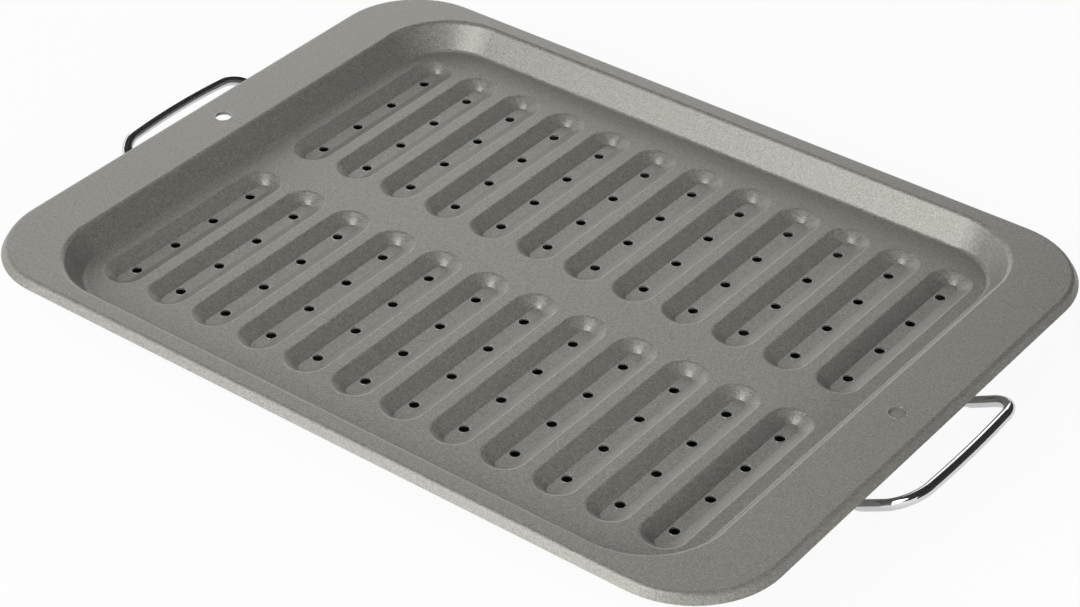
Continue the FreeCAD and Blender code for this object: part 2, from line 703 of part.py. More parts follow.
def sweep(body, name, profile, spine):
    """Draw a section along a line of the same body."""
    doc.recompute()
    edges = ["Edge%d" % number for number in range(1, len(spine.Shape.Edges) + 1)]
    feature = body.newObject("PartDesign::AdditivePipe", name)
    feature.Profile = (profile, [""])
    feature.Spine = (spine, edges)
    return feature


def make_handle(side, turned):
    """Make one wire handle: grip, two legs and their flattened ends, mirrored about its middle."""
    body = new_body("handle_" + side)
    leg_end = wire_section(body, "leg_end", "leg_end_reach", "leg_end_height", "leg_angle")
    sweep(body, "grip", leg_end, bail_sketch(body))
    foot = sweep(body, "foot_wire", leg_end, foot_sketch(body))
    foot_end = wire_section(body, "foot_end", "foot_reach", "foot_height", "wall_lean")
    neck = loft(body, "neck", foot_end, neck_sketch(body))
    lug = body.newObject("PartDesign::Pad", "lug_plate")
    lug.Profile = (lug_sketch(body), [""])
    bind(lug, "Length", "lug_thickness")
    doc.recompute()
    mirror = body.newObject("PartDesign::Mirrored", "front_foot")
    mirror.Originals = [foot, neck, lug]
    mirror.MirrorPlane = (origin(body, "XZ_Plane"), [""])
    body.Tip = mirror
    body.Placement = FreeCAD.Placement(
        FreeCAD.Vector(), FreeCAD.Rotation(FreeCAD.Vector(0, 0, 1), 180 if turned else 0)
    )
    bind(body, "Placement.Base.y", "handle_shift_" + side)
    return body


def make_rivet(side, place, turn, along):
    """Make one rivet with a domed outer head and a flat inner one."""
    body = new_body("rivet_%s_%s" % (side, place))
    sketch = new_sketch(body, "section", "XZ_Plane")
    tail, inner = value("rivet_tail"), value("rivet_inner_face")
    seat, crown = value("lug_thickness"), value("rivet_crown")
    shank, head = value("rivet_radius"), value("rivet_head_radius")
    inside = ((0, crown), (0, tail), (head, tail), (head, inner))
    corners = inside + ((shank, inner), (shank, seat), (head, seat))
    sides = [line(sketch, *ends) for ends in zip(corners, corners[1:])]
    dome = (crown - seat) / 2 + head ** 2 / (2 * (crown - seat))
    reach = math.degrees(math.asin(head / dome))
    cap = arc(sketch, (0, crown - dome), dome, 90 - reach, 90)
    for first, second in zip(sides, sides[1:]):
        sketch.addConstraint(Sketcher.Constraint("Coincident", first, END, second, START))
    sketch.addConstraint(Sketcher.Constraint("Coincident", sides[-1], END, cap, START))
    sketch.addConstraint(Sketcher.Constraint("Coincident", cap, END, sides[0], START))
    kinds = ("Vertical", "Horizontal", "Vertical", "Horizontal", "Vertical", "Horizontal")
    for number, kind in zip(sides, kinds):
        sketch.addConstraint(Sketcher.Constraint(kind, number))
    sketch.addConstraint(Sketcher.Constraint("PointOnObject", sides[0], END, -2))
    sketch.addConstraint(Sketcher.Constraint("PointOnObject", cap, CENTRE, -2))
    fix_along(sketch, "DistanceY", sides[0], START, "rivet_crown")
    fix_along(sketch, "DistanceY", sides[0], END, "rivet_tail_depth", -1)
    fix_along(sketch, "DistanceY", sides[2], END, "gauge", -1)
    fix_along(sketch, "DistanceY", sides[5], END, "lug_thickness")
    fix_along(sketch, "DistanceX", sides[2], START, "rivet_head_radius")
    fix_along(sketch, "DistanceX", sides[5], END, "rivet_head_radius")
    fix_along(sketch, "DistanceX", sides[4], START, "rivet_radius")
    turned = body.newObject("PartDesign::Revolution", "turned")
    turned.Profile = (sketch, [""])
    turned.ReferenceAxis = (sketch, ["V_Axis"])
    turned.Angle = 360
    axis = FreeCAD.Vector(0, turn, 0)
    body.Placement = FreeCAD.Placement(FreeCAD.Vector(), FreeCAD.Rotation(axis, value("lug_angle")))
    bind(body, "Placement.Rotation.Angle", "lug_angle")
    bind(body, "Placement.Base.x", "rivet_reach", "" if turn > 0 else "-")
    bind(body, "Placement.Base.z", "rivet_height")
    sign = "+" if along > 0 else "-"
    body.setExpression(
        "Placement.Base.y", "%s %s %s" % (cell("handle_shift_" + side), sign, cell("handle_half_span"))
    )
    return body


doc = FreeCAD.newDocument("broiler_pan")
sizes = doc.addObject("Spreadsheet::Sheet", "Sizes")
lines = doc.addObject("Spreadsheet::Sheet", "Lines")
fill_sheets()

bodies = [make_tray(), make_drip_pan(), make_handle("right", False), make_handle("left", True)]
for side, turn in (("right", 1), ("left", -1)):
    bodies += [make_rivet(side, "front", turn, -1), make_rivet(side, "back", turn, 1)]
doc.recompute()

for item in doc.Objects:
    if {"Invalid", "Error"} & set(item.State):
        raise RuntimeError("%s failed" % item.Name)
for body in bodies:
    if body.Shape.isNull() or not body.Shape.isValid() or len(body.Shape.Solids) != 1:
        raise RuntimeError("%s is not one sound solid" % body.Label)

os.makedirs("parts", exist_ok=True)
for body in bodies:
    body.Shape.exportStep("parts/%s.step" % body.Label)
    box = body.Shape.BoundBox
    print(body.Label, "volume %.0f" % body.Shape.Volume, "z %.2f to %.2f" % (box.ZMin, box.ZMax))
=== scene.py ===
"""Broiler pan: a slotted, drilled tray in a drip pan with two chromed wire handles, dressed for a studio.

Metres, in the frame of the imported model: +X to the right-hand handle, +Y to the back, +Z up, with the
set standing on z = 0.
"""

import logging
import math
from dataclasses import dataclass
from enum import Enum
from typing import Any, ClassVar

import bpy
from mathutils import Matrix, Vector


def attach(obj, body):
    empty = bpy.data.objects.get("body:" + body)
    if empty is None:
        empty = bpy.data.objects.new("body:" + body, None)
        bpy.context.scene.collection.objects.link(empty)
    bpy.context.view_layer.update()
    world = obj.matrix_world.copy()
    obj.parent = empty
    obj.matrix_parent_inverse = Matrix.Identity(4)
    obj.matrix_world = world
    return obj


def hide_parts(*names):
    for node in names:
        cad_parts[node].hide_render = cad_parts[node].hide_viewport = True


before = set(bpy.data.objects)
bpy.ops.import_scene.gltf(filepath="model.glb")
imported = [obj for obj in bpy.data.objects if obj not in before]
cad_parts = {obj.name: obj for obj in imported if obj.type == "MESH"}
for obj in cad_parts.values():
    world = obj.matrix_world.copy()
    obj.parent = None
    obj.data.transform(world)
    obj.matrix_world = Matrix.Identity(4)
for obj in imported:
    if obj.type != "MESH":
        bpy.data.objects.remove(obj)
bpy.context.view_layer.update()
LOG = logging.getLogger("broiler_pan")
ROOT = "root"
MM = 0.001
MIDDLE = 0.5
Colour = tuple[float, float, float]
Point = tuple[float, float, float]
WHITE: Colour = (1.0, 1.0, 1.0)
ORIGIN: Point = (0.0, 0.0, 0.0)
UP: Point = (0.0, 0.0, 1.0)
UNTURNED = (0.0, 0.0, 0.0)


class End(Enum):
    """The two ends of the set, each with the side of the X axis that it lies on."""

    LEFT = -1
    RIGHT = 1


class Row(Enum):
    """The two rivets of one handle, each with the side of the handle's middle that it sits on."""

    FRONT = -1
    BACK = 1


def opaque(colour: Colour) -> tuple[float, float, float, float]:
    """Give a colour the full alpha that colour sockets want."""
    return (*colour, 1.0)


class Graph:
    """A node tree with short ways to add nodes and to join them."""

    def __init__(self, tree: bpy.types.NodeTree) -> None:
        """Keep the tree that the nodes go into.

        Args:
            tree: A shader or geometry tree, with nothing in it that matters.
        """
        self.tree = tree
        tree.nodes.clear()

    def add(self, kind: str, feeds: dict[str | int, Any] | None = None, **settings: Any) -> bpy.types.Node:
        """Add a node, set its options and feed its inputs.

        Args:
            kind: The node's type name.
            feeds: What goes into each input: another node's output, or a plain value.
            **settings: The node's own options.

        Returns:
            The new node.
        """
        node = self.tree.nodes.new(kind)
        for name, setting in settings.items():
            setattr(node, name, setting)
        for socket, source in (feeds or {}).items():
            self.feed(node.inputs[socket], source)
        return node

    def feed(self, target: bpy.types.NodeSocket, source: Any) -> None:
        """Feed one input.

        Args:
            target: The input socket.
            source: Another node's output, or a plain value.
        """
        if isinstance(source, bpy.types.NodeSocket):
            self.tree.links.new(source, target)
        else:
            target.default_value = source

    def math(self, operation: str, first: Any, second: Any = 0.0, third: Any = 0.0) -> bpy.types.NodeSocket:
        """Work out a number from up to three others.

        Args:
            operation: The Math node's operation.
            first: Its first input, an output or a number.
            second: Its second input.
            third: Its third input, used by MULTIPLY_ADD alone.

        Returns:
            The result's output socket.
        """
        feeds = {0: first, 1: second, 2: third}
        return self.add("ShaderNodeMath", feeds, operation=operation).outputs[0]

    def vary(self, base: Any, noise: bpy.types.NodeSocket, share: float) -> bpy.types.NodeSocket:
        """Vary a number with a noise that swings about its middle.

        Args:
            base: The number, an output or a plain value.
            noise: The noise, between 0 and 1.
            share: How far the number moves over the noise's whole range.

        Returns:
            The varied number's output socket.
        """
        swing = self.math("SUBTRACT", noise, MIDDLE)
        return self.math("MULTIPLY_ADD", swing, share, base)

    def span(self, count: Any, pitch: Any) -> bpy.types.NodeSocket:
        """Work out how far a row of things reaches.

        Args:
            count: How many there are.
            pitch: The distance from one to the next.

        Returns:
            The output socket of the distance from the first to the last.
        """
        steps = self.math("SUBTRACT", count, 1.0)
        return self.math("MULTIPLY", steps, pitch)

    def copies(self, points: Any, shape: Any, turn: Any = UNTURNED) -> bpy.types.NodeSocket:
        """Put a shape on every point.

        Args:
            points: The points.
            shape: The shape.
            turn: How it is turned there.

        Returns:
            The output socket of the copies, which are still instances.
        """
        feeds = {"Points": points, "Instance": shape, "Rotation": turn}
        return self.add("GeometryNodeInstanceOnPoints", feeds).outputs["Instances"]

    def blend(self, share: Any, low: Any, high: Any) -> bpy.types.NodeSocket:
        """Mix two colours.

        Args:
            share: How much of the second colour there is.
            low: The first colour.
            high: The second colour.

        Returns:
            The mixed colour's output socket.
        """
        node = self.add("ShaderNodeMix", data_type="RGBA")
        feeds = {"Factor_Float": share, "A_Color": low, "B_Color": high}
        for socket in node.inputs:
            if socket.identifier in feeds:
                self.feed(socket, feeds[socket.identifier])
        return next(socket for socket in node.outputs if socket.identifier == "Result_Color")


@dataclass(frozen=True)
class Noise:
    """A cloudy noise between 0 and 1, with finer layers in it."""

    scale: float
    detail: float = 2.0
    layer_share: float = 0.5

    def draw(self, graph: Graph, place: bpy.types.NodeSocket) -> bpy.types.NodeSocket:
        """Draw the noise.

        Args:
            graph: The material's own tree.
            place: The coordinates that it follows.

        Returns:
            The noise's output socket.
        """
        feeds = {"Vector": place, "Scale": self.scale, "Detail": self.detail, "Roughness": self.layer_share}
        return graph.add("ShaderNodeTexNoise", feeds).outputs["Fac"]


@dataclass(frozen=True)
class Finish:
    """What every surface has: a name and a material made of nodes."""

    name: str

    def material(self) -> bpy.types.Material:
        """Make the finish's material, or find it where it was made before.

        Returns:
            The material.
        """
        found = bpy.data.materials.get(self.name)
        if found:
            return found
        made = bpy.data.materials.new(self.name)
        made.use_nodes = True
        graph = Graph(made.node_tree)
        shader = self.surface(graph)
        graph.add("ShaderNodeOutputMaterial", {"Surface": shader})
        return made

    def surface(self, graph: Graph) -> bpy.types.NodeSocket:
        """Draw the finish's nodes.

        Args:
            graph: The material's own tree.

        Returns:
            The shader's output socket.
        """
        raise NotImplementedError


@dataclass(frozen=True)
class Metal(Finish):
    """Any metal, bare or coated, with a relief so fine that only the light shows it."""

    metal_share: float = 1.0
    relief_strength: float = 0.3
    relief_depth: float = 0.0015 * MM

    def skin(self, graph: Graph, colour: Any, gloss: Any, height: Any) -> bpy.types.NodeSocket:
        """Draw the metal's shader.

        Args:
            graph: The material's own tree.
            colour: The metal's colour.
            gloss: Its roughness.
            height: The noise that its relief follows.

        Returns:
            The shader's output socket.
        """
        feeds = {"Height": height, "Strength": self.relief_strength, "Distance": self.relief_depth}
        relief = graph.add("ShaderNodeBump", feeds).outputs["Normal"]
        feeds = {"Base Color": colour, "Metallic": self.metal_share, "Roughness": gloss, "Normal": relief}
        return graph.add("ShaderNodeBsdfPrincipled", feeds).outputs["BSDF"]


@dataclass(frozen=True)
class CoatedSteel(Metal):
    """Sheet steel under a baked grey coating: a satin skin with a fine, slightly sparkling grain."""

    light: Colour = (0.352, 0.350, 0.327)
    dark: Colour = (0.218, 0.205, 0.184)
    metal_share: float = 0.40
    roughness: float = 0.40
    grain: Noise = Noise(1300.0, detail=2.0, layer_share=0.6)
    cloud: Noise = Noise(14.0, detail=3.0)
    flake_scale: float = 1500.0
    grain_share: float = 2.2
    flake_share: float = 0.60
    cloud_share: float = 0.25
    flake_gloss: float = 0.20
    cloud_gloss: float = 0.08
    relief_strength: float = 0.8
    relief_depth: float = 0.16 * MM

    def surface(self, graph: Graph) -> bpy.types.NodeSocket:
        """Draw the coating: grain in its colour and relief, flakes and faint clouds in its colour and gloss.

        Args:
            graph: The material's own tree.

        Returns:
            The shader's output socket.
        """
        place = graph.add("ShaderNodeTexCoord").outputs["Object"]
        grain = self.grain.draw(graph, place)
        cloud = self.cloud.draw(graph, place)
        flake = graph.add("ShaderNodeTexVoronoi", {"Vector": place, "Scale": self.flake_scale})
        spark = graph.add("ShaderNodeSeparateColor", {"Color": flake.outputs["Color"]}).outputs["Red"]
        tone = graph.vary(MIDDLE, grain, self.grain_share)
        tone = graph.vary(tone, spark, self.flake_share)
        tone = graph.vary(tone, cloud, self.cloud_share)
        colour = graph.blend(tone, opaque(self.dark), opaque(self.light))
        gloss = graph.vary(self.roughness, spark, self.flake_gloss)
        gloss = graph.vary(gloss, cloud, self.cloud_gloss)
        return self.skin(graph, colour, gloss, grain)


@dataclass(frozen=True)
class BrightMetal(Metal):
    """Polished metal: chrome plate on the wire, or the brighter steel of the rivets."""

    colour: Colour = (0.80, 0.80, 0.81)
    dull: Colour = (0.66, 0.66, 0.68)
    roughness: float = 0.05
    roughness_spread: float = 0.06
    mark: Noise = Noise(140.0, detail=4.0, layer_share=0.65)

    def surface(self, graph: Graph) -> bpy.types.NodeSocket:
        """Draw the metal: faint handling marks in its colour and gloss, and a little ripple with them.

        Args:
            graph: The material's own tree.

        Returns:
            The shader's output socket.
        """
        place = graph.add("ShaderNodeTexCoord").outputs["Object"]
        mark = self.mark.draw(graph, place)
        colour = graph.blend(mark, opaque(self.dull), opaque(self.colour))
        gloss = graph.math("MULTIPLY_ADD", mark, self.roughness_spread, self.roughness)
        return self.skin(graph, colour, gloss, mark)


@dataclass(frozen=True)
class StudioWhite(Finish):
    """The white sweep: seen and mirrored as nearly white, with the shadow of the set still on it."""

    colour: Colour = (0.93, 0.93, 0.93)
    shadow_share: float = 0.07
    mirrored_shadow_share: float = 0.45

    def surface(self, graph: Graph) -> bpy.types.NodeSocket:
        """Draw the sweep: plain paper for the light it throws back, mostly its own white to the eye.

        Args:
            graph: The material's own tree.

        Returns:
            The shader's output socket.
        """
        paper = graph.add("ShaderNodeBsdfDiffuse", {"Color": opaque(self.colour)}).outputs["BSDF"]
        glow = graph.add("ShaderNodeEmission", {"Color": opaque(WHITE), "Strength": 1.0})
        path = graph.add("ShaderNodeLightPath")
        mirrored = graph.math("MAXIMUM", path.outputs["Is Glossy Ray"], path.outputs["Is Transmission Ray"])
        mirrored = graph.math("MULTIPLY", mirrored, 1.0 - self.mirrored_shadow_share)
        seen = graph.math("MULTIPLY", path.outputs["Is Camera Ray"], 1.0 - self.shadow_share)
        share = graph.math("MAXIMUM", seen, mirrored)
        feeds = {0: share, 1: paper, 2: glow.outputs["Emission"]}
        return graph.add("ShaderNodeMixShader", feeds).outputs["Shader"]


@dataclass(frozen=True)
class FlagCloth(Finish):
    """Dark felt on the flags and the ceiling, which keeps light off the set."""

    dark: float = 0.04
    light: float = 0.06
    nap: Noise = Noise(40.0)

    def surface(self, graph: Graph) -> bpy.types.NodeSocket:
        """Draw the felt, a little uneven as brushed cloth is.

        Args:
            graph: The material's own tree.

        Returns:
            The shader's output socket.
        """
        place = graph.add("ShaderNodeTexCoord").outputs["Object"]
        nap = self.nap.draw(graph, place)
        colour = graph.blend(nap, opaque((self.dark,) * 3), opaque((self.light,) * 3))
        return graph.add("ShaderNodeBsdfDiffuse", {"Color": colour}).outputs["BSDF"]


COATING = CoatedSteel("coated_steel_finish")
# Paler, glossier coating for the hole edges: a painted highlight on rings whose rolled shape also catches
# real light.
PAINTED_HOLE_HIGHLIGHT = CoatedSteel(
    "painted_hole_highlight_finish",
    light=(0.62, 0.61, 0.57),
    dark=(0.38, 0.37, 0.34),
    metal_share=0.70,
    roughness=0.30,
)
CHROME = BrightMetal("chrome_wire_finish")
RIVET_FINISH = BrightMetal(
    "rivet_steel_finish",
    colour=(0.62, 0.61, 0.59),
    dull=(0.45, 0.44, 0.43),
    roughness=0.22,
    roughness_spread=0.16,
)


def new_mesh_object(name: str, points: list[Point], faces: list[tuple[int, ...]]) -> bpy.types.Object:
    """Make an object at the origin from corners and faces.

    Args:
        name: The object's name.
        points: The corners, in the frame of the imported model.
        faces: Each face as the numbers of its corners.

    Returns:
        The new object.
    """
    mesh = bpy.data.meshes.new(name)
    mesh.from_pydata(points, [], faces)
    made = bpy.data.objects.new(name, mesh)
    bpy.context.scene.collection.objects.link(made)
    return made


def dress(node: str, finish: Finish) -> None:
    """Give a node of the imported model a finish.

    Args:
        node: The node's name.
        finish: Its finish.
    """
    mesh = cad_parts[node].data
    mesh.materials.clear()
    mesh.materials.append(finish.material())


class Repeater:
    """A Geometry Nodes tree with named inputs, run on a carrier object and baked to a plain mesh."""

    KINDS: ClassVar[dict[type, str]] = {
        int: "NodeSocketInt",
        float: "NodeSocketFloat",
        bpy.types.Material: "NodeSocketMaterial",
    }

    def __init__(self, name: str, sizes: dict[str, Any]) -> None:
        """Start the tree and its inputs.

        Args:
            name: The name of the piece that the tree makes.
            sizes: The value of each named input.
        """
        self.name = name
        self.sizes = sizes
        self.tree = bpy.data.node_groups.new(name + "_tree", "GeometryNodeTree")
        self.graph = Graph(self.tree)
        self.tree.interface.new_socket("Geometry", in_out="INPUT", socket_type="NodeSocketGeometry")
        self.identifiers: dict[str, str] = {}
        for label, size in sizes.items():
            kind = next(socket for python, socket in self.KINDS.items() if isinstance(size, python))
            socket = self.tree.interface.new_socket(label, in_out="INPUT", socket_type=kind)
            self.identifiers[label] = socket.identifier
        self.tree.interface.new_socket("Geometry", in_out="OUTPUT", socket_type="NodeSocketGeometry")
        self.inputs = self.graph.add("NodeGroupInput").outputs

    def close(self, geometry: bpy.types.NodeSocket) -> None:
        """End the tree: real shapes instead of instances, smooth shading, and the finish.

        Args:
            geometry: The last shape, with its instances.
        """
        real = self.graph.add("GeometryNodeRealizeInstances", {"Geometry": geometry}).outputs["Geometry"]
        smooth = self.graph.add("GeometryNodeSetShadeSmooth", {"Geometry": real}).outputs["Geometry"]
        feeds = {"Geometry": smooth, "Material": self.inputs["Finish"]}
        finished = self.graph.add("GeometryNodeSetMaterial", feeds).outputs["Geometry"]
        self.graph.add("NodeGroupOutput", {"Geometry": finished})

    def bake(self, points: list[Point], outward: list[Point]) -> bpy.types.Object:
        """Run the tree on carrier points and keep the result as a plain mesh.

        Args:
            points: The carrier's points.
            outward: The direction that each point faces.

        Returns:
            The finished piece.
        """
        carrier = new_mesh_object(self.name + "_carrier", points, [])
        facing = carrier.data.attributes.new("outward", "FLOAT_VECTOR", "POINT")
        facing.data.foreach_set("vector", [number for direction in outward for number in direction])
        modifier = carrier.modifiers.new(self.name, "NODES")
        modifier.node_group = self.tree
        for label, size in self.sizes.items():
            modifier[self.identifiers[label]] = size
        evaluated = carrier.evaluated_get(bpy.context.evaluated_depsgraph_get())
        mesh = bpy.data.meshes.new_from_object(evaluated)
        mesh.name = self.name
        piece = bpy.data.objects.new(self.name, mesh)
        bpy.context.scene.collection.objects.link(piece)
        bpy.data.objects.remove(carrier)
        return piece


@dataclass
class HoleEdges:
    """Rolled edges round a regular field of punched holes, one thin ring to each hole, coloured paler than
    the coating as a painted highlight.
    """

    name: str
    columns: int
    rows: int
    in_line: int
    column_pitch: float
    row_pitch: float
    line_pitch: float
    hole_radius: float
    level: float
    roll: float = 0.26 * MM
    sink: float = 0.18 * MM
    around: int = 20
    across: int = 6

    def tree(self) -> Repeater:
        """Draw the tree: a line of rings at every crossing of the columns and the rows.

        Returns:
            The tree with its inputs set.
        """
        maker = Repeater(
            self.name,
            {
                "Columns": self.columns,
                "Rows": self.rows,
                "Holes in Line": self.in_line,
                "Column Pitch": self.column_pitch,
                "Row Pitch": self.row_pitch,
                "Line Pitch": self.line_pitch,
                "Hole Radius": self.hole_radius,
                "Level": self.level,
                "Roll": self.roll,
                "Sink": self.sink,
                "Around": self.around,
                "Across": self.across,
                # The rings take the paler finish, which paints a highlight round each hole.
                "Finish": PAINTED_HOLE_HIGHLIGHT.material(),
            },
        )
        graph, sizes = maker.graph, maker.inputs
        height = graph.math("SUBTRACT", sizes["Level"], sizes["Sink"])
        spread = graph.span(sizes["Holes in Line"], sizes["Line Pitch"])
        first = graph.add("ShaderNodeCombineXYZ", {"Y": graph.math("MULTIPLY", spread, -0.5), "Z": height})
        step = graph.add("ShaderNodeCombineXYZ", {"Y": sizes["Line Pitch"]})
        feeds = {
            "Count": sizes["Holes in Line"],
            "Start Location": first.outputs["Vector"],
            "Offset": step.outputs["Vector"],
        }
        line = graph.add("GeometryNodeMeshLine", feeds).outputs["Mesh"]
        feeds = {
            "Size X": graph.span(sizes["Columns"], sizes["Column Pitch"]),
            "Size Y": graph.span(sizes["Rows"], sizes["Row Pitch"]),
            "Vertices X": sizes["Columns"],
            "Vertices Y": sizes["Rows"],
        }
        middles = graph.add("GeometryNodeMeshGrid", feeds).outputs["Mesh"]
        lines = graph.copies(middles, line)
        holes = graph.add("GeometryNodeRealizeInstances", {"Geometry": lines}).outputs["Geometry"]
        maker.close(graph.copies(holes, self.ring(maker)))
        return maker

    def ring(self, maker: Repeater) -> bpy.types.NodeSocket:
        """Make one ring, whose inner edge lies on the wall of its hole.

        Args:
            maker: The tree that it goes into.

        Returns:
            The ring's output socket.
        """
        graph, sizes = maker.graph, maker.inputs
        reach = graph.math("ADD", sizes["Hole Radius"], sizes["Roll"])
        feeds = {"Resolution": sizes["Around"], "Radius": reach}
        path = graph.add("GeometryNodeCurvePrimitiveCircle", feeds).outputs["Curve"]
        feeds = {"Resolution": sizes["Across"], "Radius": sizes["Roll"]}
        section = graph.add("GeometryNodeCurvePrimitiveCircle", feeds).outputs["Curve"]
        feeds = {"Curve": path, "Profile Curve": section}
        return graph.add("GeometryNodeCurveToMesh", feeds).outputs["Mesh"]

    def build(self) -> bpy.types.Object:
        """Make the rings and tie them to the set.

        Returns:
            The piece that holds them all.
        """
        piece = self.tree().bake([ORIGIN], [UP])
        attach(piece, ROOT)
        return piece


@dataclass
class BroilTray:
    """The tray that the food lies on, with 24 pressed slots and 96 drain holes."""

    columns: int = 12
    rows: int = 2
    holes_in_slot: int = 4
    column_pitch: float = 27.32 * MM
    row_pitch: float = 129.0 * MM
    drain_pitch: float = 25.4 * MM
    drain_radius: float = 2.4 * MM
    slot_level: float = 23.5 * MM
    rim_level: float = 40.0 * MM
    rim_hole_reach: float = 190.4 * MM
    rim_hole_radius: float = 3.9 * MM

    def build(self) -> list[bpy.types.Object]:
        """Dress the pressed sheet and roll the edges of its holes.

        Returns:
            The pieces that were added.
        """
        dress("broil_tray", COATING)
        drains = HoleEdges(
            "drain_hole_edges",
            columns=self.columns,
            rows=self.rows,
            in_line=self.holes_in_slot,
            column_pitch=self.column_pitch,
            row_pitch=self.row_pitch,
            line_pitch=self.drain_pitch,
            hole_radius=self.drain_radius,
            level=self.slot_level,
        )
        hangers = HoleEdges(
            "rim_hole_edges",
            columns=len(End),
            rows=1,
            in_line=1,
            column_pitch=2.0 * self.rim_hole_reach,
            row_pitch=0.0,
            line_pitch=0.0,
            hole_radius=self.rim_hole_radius,
            level=self.rim_level,
            around=40,
            across=8,
        )
        return [drains.build(), hangers.build()]


@dataclass
class DripPan:
    """The pan below the tray, which catches the dripping."""

    def build(self) -> list[bpy.types.Object]:
        """Dress the pressed sheet.

        Returns:
            The pieces that were added, none here.
        """
        dress("drip_pan", COATING)
        return []


@dataclass
class WireHandles:
    """The two bails of chromed wire."""

    def build(self) -> list[bpy.types.Object]:
        """Dress both handles.

        Returns:
            The pieces that were added, none here.
        """
        for end in End:
            dress("handle_" + end.name.lower(), CHROME)
        return []


@dataclass
class Rivets:
    """The four rivets that hold the wire's flattened ends on the end walls."""

    reach: float = 160.34 * MM
    level: float = 10.17 * MM
    half_span: float = 43.9 * MM
    shift_right: float = 5.4 * MM
    shift_left: float = 1.4 * MM
    wall_lean: float = 32.0
    sheet: float = 0.8 * MM
    lug: float = 2.2 * MM
    shank_radius: float = 2.0 * MM
    head_radius: float = 4.0 * MM
    crown: float = 1.8 * MM
    brim: float = 0.25 * MM
    tail: float = 1.0 * MM
    overlap: float = 0.1 * MM
    around: int = 48
    rings: int = 8

    def tree(self) -> Repeater:
        """Draw the tree: a domed head, a shank and a flat tail on each carrier point.

        Returns:
            The tree with its inputs set.
        """
        maker = Repeater(
            "rivets",
            {
                "Sheet": self.sheet,
                "Lug": self.lug,
                "Shank Radius": self.shank_radius,
                "Head Radius": self.head_radius,
                "Crown": self.crown,
                "Brim": self.brim,
                "Tail": self.tail,
                "Overlap": self.overlap,
                "Around": self.around,
                "Rings": self.rings,
                "Finish": RIVET_FINISH.material(),
            },
        )
        graph, sizes = maker.graph, maker.inputs
        through = graph.math("ADD", sizes["Sheet"], sizes["Lug"])
        length = graph.math("MULTIPLY_ADD", sizes["Overlap"], 2.0, through)
        middle = graph.math("MULTIPLY", graph.math("SUBTRACT", sizes["Lug"], sizes["Sheet"]), 0.5)
        shank = self.disc(maker, sizes["Shank Radius"], length, middle)
        inside = graph.math("MULTIPLY", sizes["Sheet"], -1.0)
        below = graph.math("MULTIPLY_ADD", sizes["Tail"], -0.5, inside)
        tail = self.disc(maker, sizes["Head Radius"], sizes["Tail"], below)
        rivet = graph.add("GeometryNodeJoinGeometry")
        for shell in (self.head(maker), shank, tail):
            graph.feed(rivet.inputs["Geometry"], shell)
        outward = graph.add("GeometryNodeInputNamedAttribute", {"Name": "outward"}, data_type="FLOAT_VECTOR")
        feeds = {"Vector": outward.outputs["Attribute"]}
        turn = graph.add("FunctionNodeAlignRotationToVector", feeds, axis="Z").outputs["Rotation"]
        maker.close(graph.copies(sizes["Geometry"], rivet.outputs["Geometry"], turn))
        return maker

    def head(self, maker: Repeater) -> bpy.types.NodeSocket:
        """Make the outer head: a thin disc whose top swells to the crown in the middle.

        Args:
            maker: The tree that it goes into.

        Returns:
            The head's output socket.
        """
        graph, sizes = maker.graph, maker.inputs
        seat = graph.math("MULTIPLY_ADD", sizes["Brim"], 0.5, sizes["Lug"])
        disc = self.disc(maker, sizes["Head Radius"], sizes["Brim"], seat)
        position = graph.add("GeometryNodeInputPosition").outputs["Position"]
        place = graph.add("ShaderNodeSeparateXYZ", {"Vector": position}).outputs
        square = graph.math("ADD", graph.math("POWER", place["X"], 2.0), graph.math("POWER", place["Y"], 2.0))
        share = graph.math("DIVIDE", square, graph.math("POWER", sizes["Head Radius"], 2.0))
        rise = graph.math("SUBTRACT", sizes["Crown"], sizes["Brim"])
        dome = graph.math("MULTIPLY", rise, graph.math("SUBTRACT", 1.0, share))
        top = graph.math("GREATER_THAN", place["Z"], seat)
        lift = graph.add("ShaderNodeCombineXYZ", {"Z": dome}).outputs["Vector"]
        feeds = {"Geometry": disc, "Selection": top, "Offset": lift}
        return graph.add("GeometryNodeSetPosition", feeds).outputs["Geometry"]

    def disc(self, maker: Repeater, radius: Any, depth: Any, level: Any) -> bpy.types.NodeSocket:
        """Make a closed round disc about the axis.

        Args:
            maker: The tree that it goes into.
            radius: Its radius.
            depth: Its thickness.
            level: The height of its middle.

        Returns:
            The disc's output socket.
        """
        feeds = {
            "Vertices": maker.inputs["Around"],
            "Fill Segments": maker.inputs["Rings"],
            "Radius": radius,
            "Depth": depth,
        }
        disc = maker.graph.add("GeometryNodeMeshCylinder", feeds).outputs["Mesh"]
        shift = maker.graph.add("ShaderNodeCombineXYZ", {"Z": level}).outputs["Vector"]
        feeds = {"Geometry": disc, "Translation": shift}
        return maker.graph.add("GeometryNodeTransform", feeds).outputs["Geometry"]

    def build(self) -> list[bpy.types.Object]:
        """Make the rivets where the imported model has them, in place of its plain ones.

        Returns:
            The pieces that were added.
        """
        lean = math.radians(self.wall_lean)
        places: list[Point] = []
        outward: list[Point] = []
        for end, shift in ((End.RIGHT, self.shift_right), (End.LEFT, self.shift_left)):
            for row in Row:
                places.append((end.value * self.reach, shift + row.value * self.half_span, self.level))
                outward.append((end.value * math.cos(lean), 0.0, -math.sin(lean)))
        piece = self.tree().bake(places, outward)
        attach(piece, ROOT)
        for end in End:
            for row in Row:
                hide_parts("rivet_%s_%s" % (end.name.lower(), row.name.lower()))
        return [piece]


